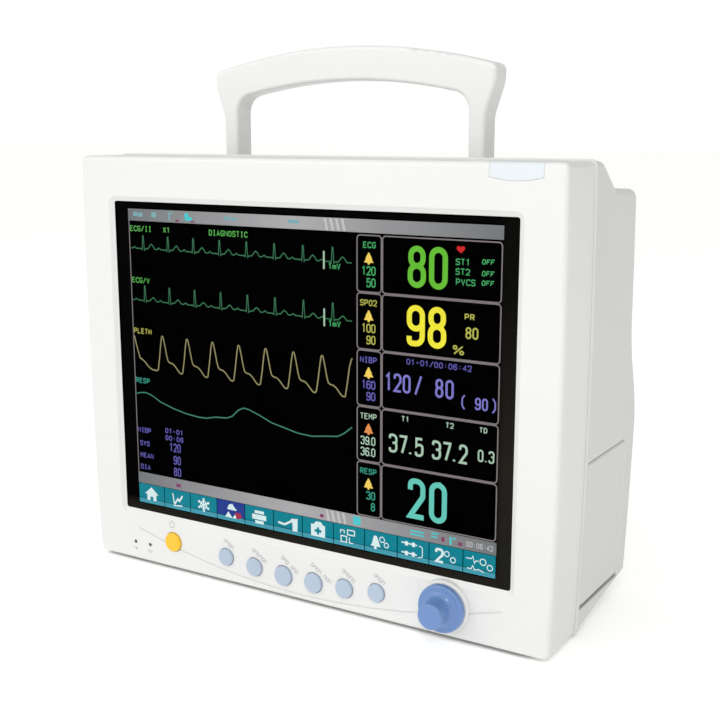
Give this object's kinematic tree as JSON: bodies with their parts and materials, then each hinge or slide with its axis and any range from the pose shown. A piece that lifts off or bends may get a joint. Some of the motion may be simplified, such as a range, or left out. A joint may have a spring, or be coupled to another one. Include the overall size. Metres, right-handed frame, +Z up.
{
  "type": "patient monitor",
  "caption": "Bedside patient monitor with a carrying handle, colour display, front keys, rotary knob, side battery door, sensor sockets and rear connectors.",
  "frame": {"origin": "on the table under the middle of the whole monitor, knob and rear bulge included", "axes": "+Z up, the screen faces -Y, +X to the viewer's right"},
  "size_m": [0.3172, 0.1351, 0.315],
  "materials": {
    "bezel_white": "satin moulded ABS",
    "housing_grey": "fine-textured moulded ABS",
    "alarm_lens": "translucent frosted lens",
    "key_blue_grey": "satin moulded keycap",
    "power_yellow": "satin moulded keycap",
    "knob_blue": "gloss moulded knob",
    "display_glass": "clear cover glass",
    "black_mask": "printed black border",
    "lcd_panel": "dark display surface",
    "steel": "zinc-plated sheet and screws",
    "aluminium_case": "bare",
    "brass": "machined",
    "nickel_contacts": "nickel-plated",
    "circuit_board": "green solder mask",
    "dark_plastic": "moulded nylon",
    "sensor_plate": "satin connector plate",
    "ecg_green": "moulded socket",
    "spo2_blue": "moulded socket",
    "temp_grey": "moulded socket",
    "light_pipe": "smoked light pipe",
    "foot_rubber": "soft rubber"
  },
  "bodies": {
    "case": {"front_bezel": "bezel_white", "alarm_lens": "alarm_lens", "rear_housing": "housing_grey", "handle": "bezel_white", "bay_door_pin": "steel", "battery_tray": "dark_plastic", "battery_pack": "dark_plastic", "display_glass": "display_glass", "display_mask": "black_mask", "lcd_panel": "lcd_panel", "lcd_frame": "steel", "backlight_inverter": "circuit_board", "key_switches": "dark_plastic", "key_board": "circuit_board", "status_lights": "light_pipe", "encoder_body": "dark_plastic", "alarm_board": "circuit_board", "rear_panel": "steel", "mains_inlet": "dark_plastic", "inlet_blades": "nickel_contacts", "fuse_holders": "dark_plastic", "equipotential_post": "nickel_contacts", "lan_port": "nickel_contacts", "video_port": "nickel_contacts", "sensor_panel": "sensor_plate", "ecg_socket": "ecg_green", "spo2_socket": "spo2_blue", "temp_sockets": "temp_grey", "nibp_fitting": "nickel_contacts", "socket_contacts": "brass", "chassis": "steel", "standoffs": "brass", "main_board": "circuit_board", "parameter_board": "circuit_board", "power_supply": "aluminium_case", "nibp_pump": "aluminium_case", "nibp_valve": "dark_plastic", "speaker": "dark_plastic", "fan_frame": "dark_plastic", "front_feet": "foot_rubber", "rear_feet": "foot_rubber", "housing_screws": "steel", "handle_screws": "steel", "base_inserts": "brass"},
    "power_button": {"power_button": "power_yellow"},
    "encoder_slide": {"encoder_plunger": "dark_plastic"},
    "knob": {"knob": "knob_blue", "encoder_shaft": "steel"},
    "bay_door": {"bay_door": "housing_grey"},
    "fan_rotor": {"fan_rotor": "dark_plastic"},
    "key_1": {"key_1": "key_blue_grey"},
    "key_2": {"key_2": "key_blue_grey"},
    "key_3": {"key_3": "key_blue_grey"},
    "key_4": {"key_4": "key_blue_grey"},
    "key_5": {"key_5": "key_blue_grey"},
    "key_6": {"key_6": "key_blue_grey"}
  },
  "joints": [
    {"name": "key_1_press", "type": "slide", "parent": "case", "child": "key_1", "axis": [0, 1, 0], "range_m": [0, 0.0012], "stiffness_N_per_m": 650, "springref_m": -0.001},
    {"name": "key_2_press", "type": "slide", "parent": "case", "child": "key_2", "axis": [0, 1, 0], "range_m": [0, 0.0012], "stiffness_N_per_m": 650, "springref_m": -0.001},
    {"name": "key_3_press", "type": "slide", "parent": "case", "child": "key_3", "axis": [0, 1, 0], "range_m": [0, 0.0012], "stiffness_N_per_m": 650, "springref_m": -0.001},
    {"name": "key_4_press", "type": "slide", "parent": "case", "child": "key_4", "axis": [0, 1, 0], "range_m": [0, 0.0012], "stiffness_N_per_m": 650, "springref_m": -0.001},
    {"name": "key_5_press", "type": "slide", "parent": "case", "child": "key_5", "axis": [0, 1, 0], "range_m": [0, 0.0012], "stiffness_N_per_m": 650, "springref_m": -0.001},
    {"name": "key_6_press", "type": "slide", "parent": "case", "child": "key_6", "axis": [0, 1, 0], "range_m": [0, 0.0012], "stiffness_N_per_m": 650, "springref_m": -0.001},
    {"name": "power_press", "type": "slide", "parent": "case", "child": "power_button", "axis": [0, 1, 0], "range_m": [0, 0.0012], "stiffness_N_per_m": 650, "springref_m": -0.001},
    {"name": "knob_push", "type": "slide", "parent": "case", "child": "encoder_slide", "axis": [0, 1, 0], "range_m": [0, 0.0005], "stiffness_N_per_m": 900, "springref_m": -0.001},
    {"name": "knob_turn", "type": "hinge", "parent": "encoder_slide", "child": "knob", "pos_m": [0.0954, -0.06, 0.0197], "axis": [0, -1, 0], "continuous": true},
    {"name": "bay_door_hinge", "type": "hinge", "parent": "case", "child": "bay_door", "pos_m": [0.1528, 0.02, 0.0193], "axis": [0, 1, 0], "range_deg": [0, 85]},
    {"name": "fan_spin", "type": "hinge", "parent": "case", "child": "fan_rotor", "pos_m": [-0.07, 0.0455, 0.204], "axis": [0, -1, 0], "continuous": true}
  ]
}
